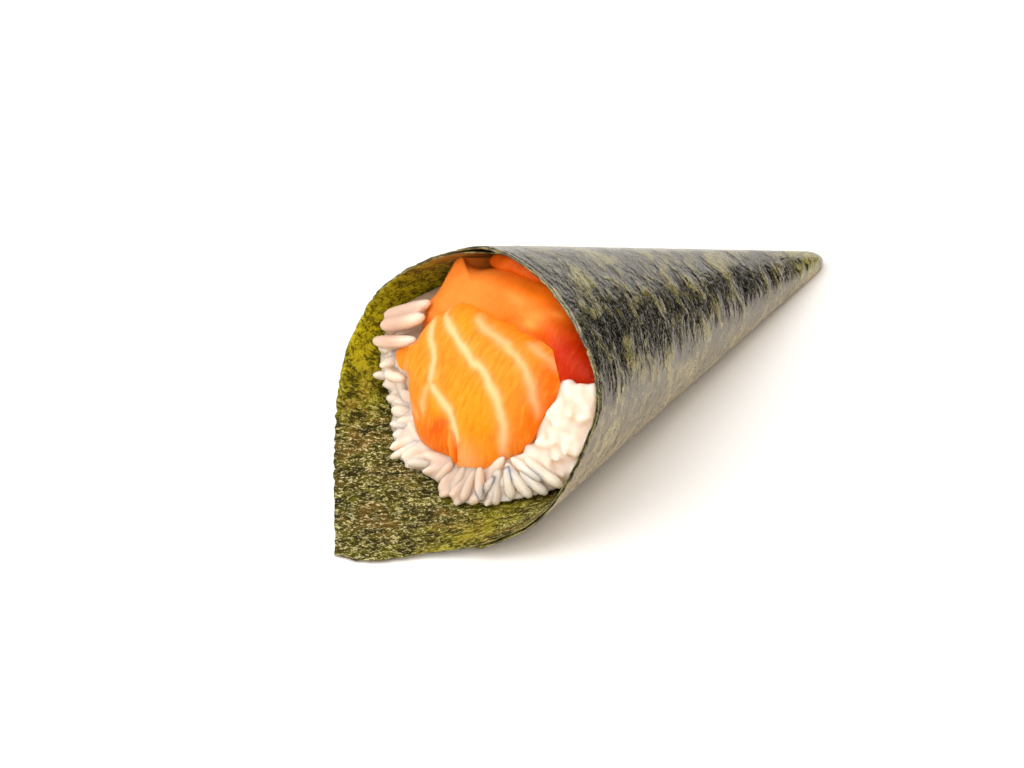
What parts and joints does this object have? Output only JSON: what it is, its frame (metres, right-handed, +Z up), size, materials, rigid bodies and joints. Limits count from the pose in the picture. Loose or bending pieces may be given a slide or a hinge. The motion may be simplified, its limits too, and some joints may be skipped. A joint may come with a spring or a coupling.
{
  "type": "temaki hand roll",
  "caption": "Cone-shaped sushi hand roll lying on its side: a sheet of nori wound round rice, with salmon slices showing at the open mouth.",
  "frame": {"origin": "under the middle of the whole roll, at the surface that it rests on", "axes": "+Y towards the closed tip, -Y towards the open mouth and the flap, +Z up"},
  "size_m": [0.0614, 0.1388, 0.0389],
  "materials": {
    "nori": "glossy dark green seaweed with olive flecks",
    "rice": "moist, slightly translucent white",
    "salmon": "moist orange with cream fat lines"
  },
  "bodies": {
    "root": {"nori": "nori", "rice": "rice", "salmon_front": "salmon", "salmon_back": "salmon", "salmon_top": "salmon"}
  },
  "joints": []
}
